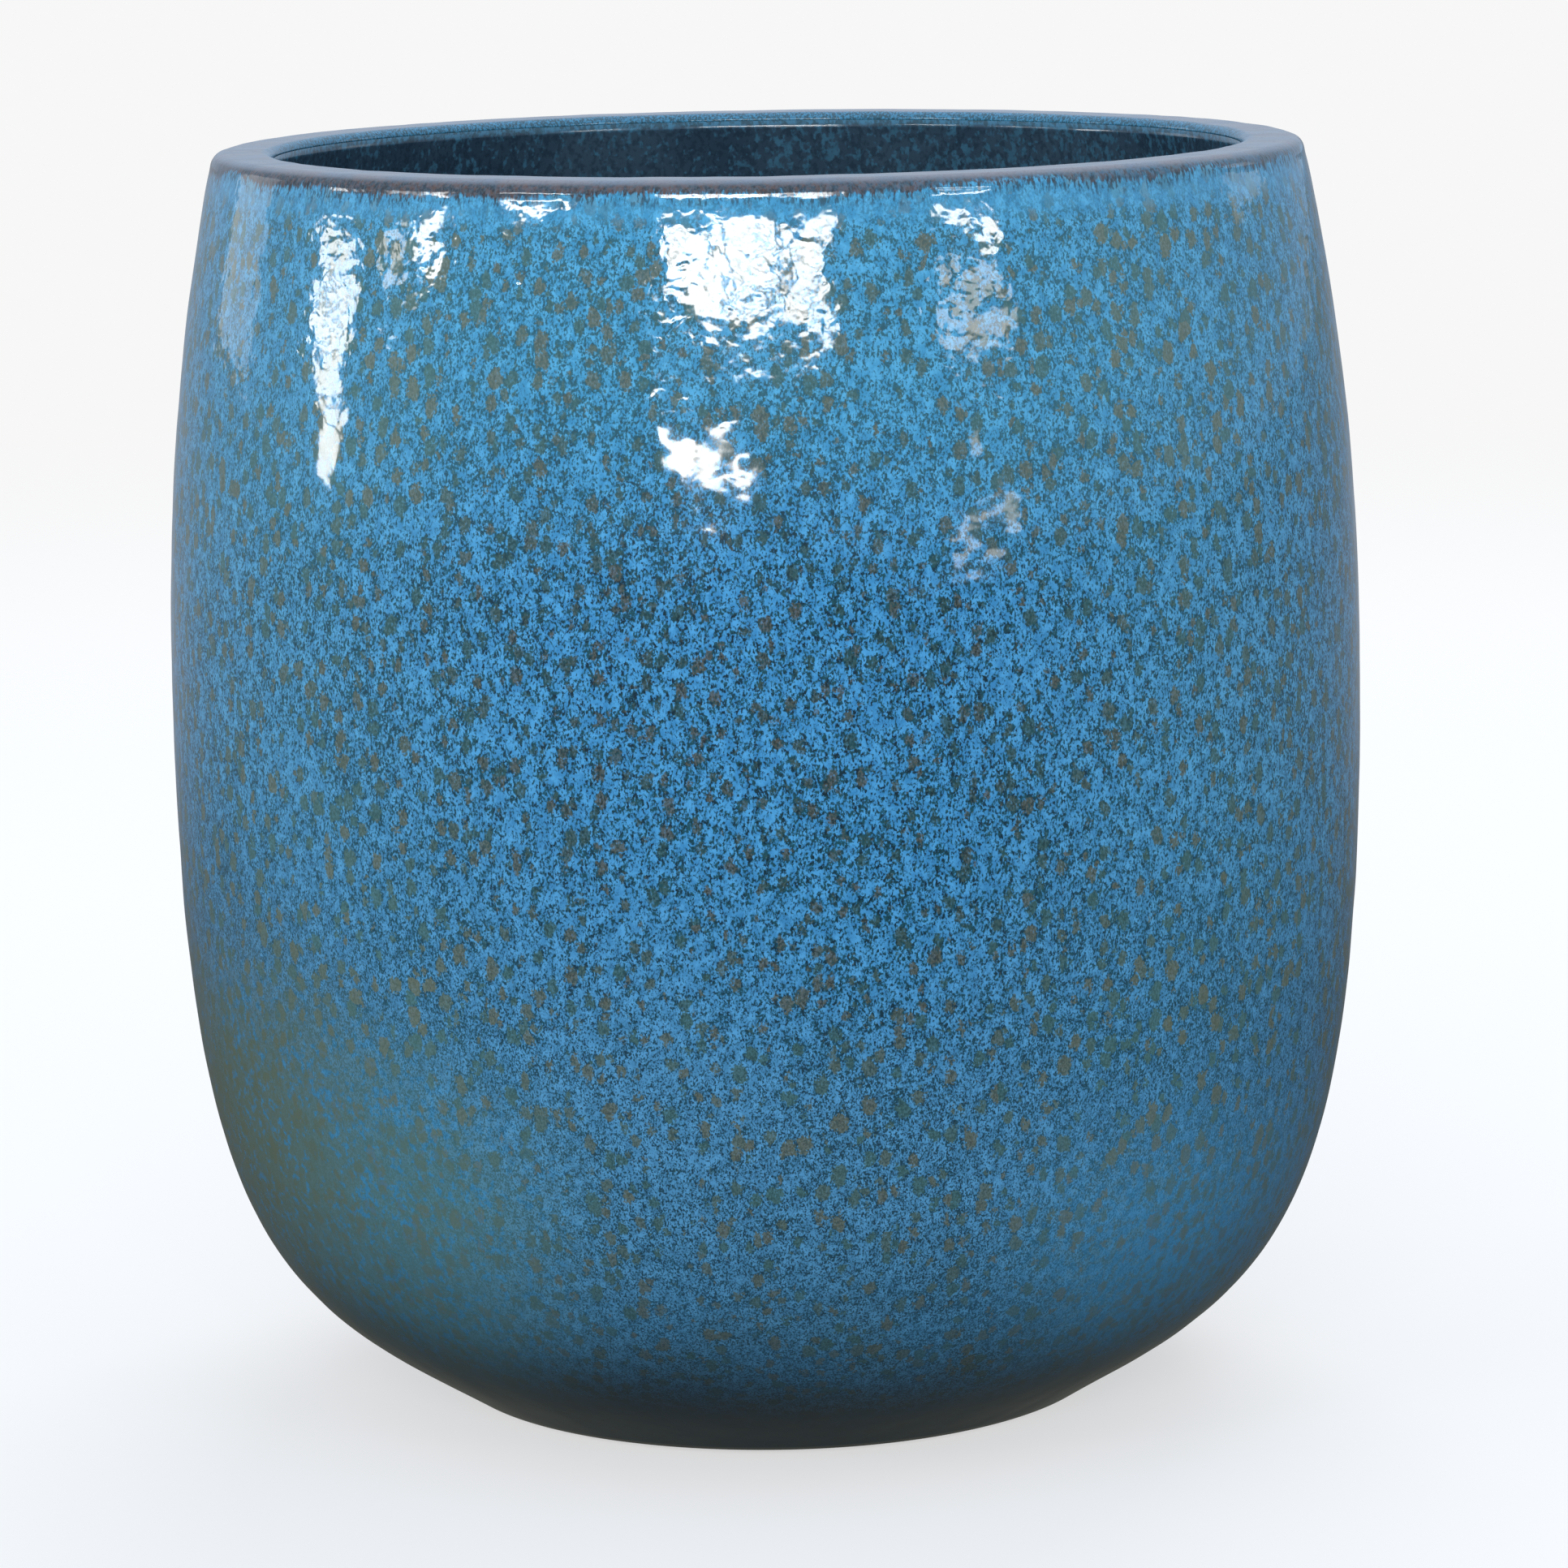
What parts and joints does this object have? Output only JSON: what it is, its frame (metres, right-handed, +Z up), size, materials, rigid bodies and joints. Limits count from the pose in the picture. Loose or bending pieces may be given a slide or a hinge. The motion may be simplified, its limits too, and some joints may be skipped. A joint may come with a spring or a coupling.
{
  "type": "flower vase",
  "caption": "Wide-mouthed, gently bellied stoneware flower vase with a thick flat lip, speckled blue glaze outside and a dark liner glaze inside.",
  "frame": {"origin": "on the floor plane under the felt pads, on the vase's axis", "axes": "+Z up along the vase's axis, towards the mouth; the vase is round, so +X and +Y are any two sides"},
  "size_m": [0.3, 0.3, 0.3158],
  "materials": {
    "clay": "bare fired stoneware, matte, buff with fine iron specks",
    "blue_glaze": "glossy reactive glaze: azure with dark teal specks and olive-brown blooms, brown where it breaks over the lip, dark navy at the foot",
    "liner_glaze": "glossy dark navy with sparse soft blue specks",
    "felt": "dense dark grey felt"
  },
  "bodies": {
    "root": {"stoneware_body": "clay", "outer_glaze": "blue_glaze", "inner_glaze": "liner_glaze", "foot_pad_1": "felt", "foot_pad_2": "felt", "foot_pad_3": "felt", "foot_pad_4": "felt"}
  },
  "joints": []
}
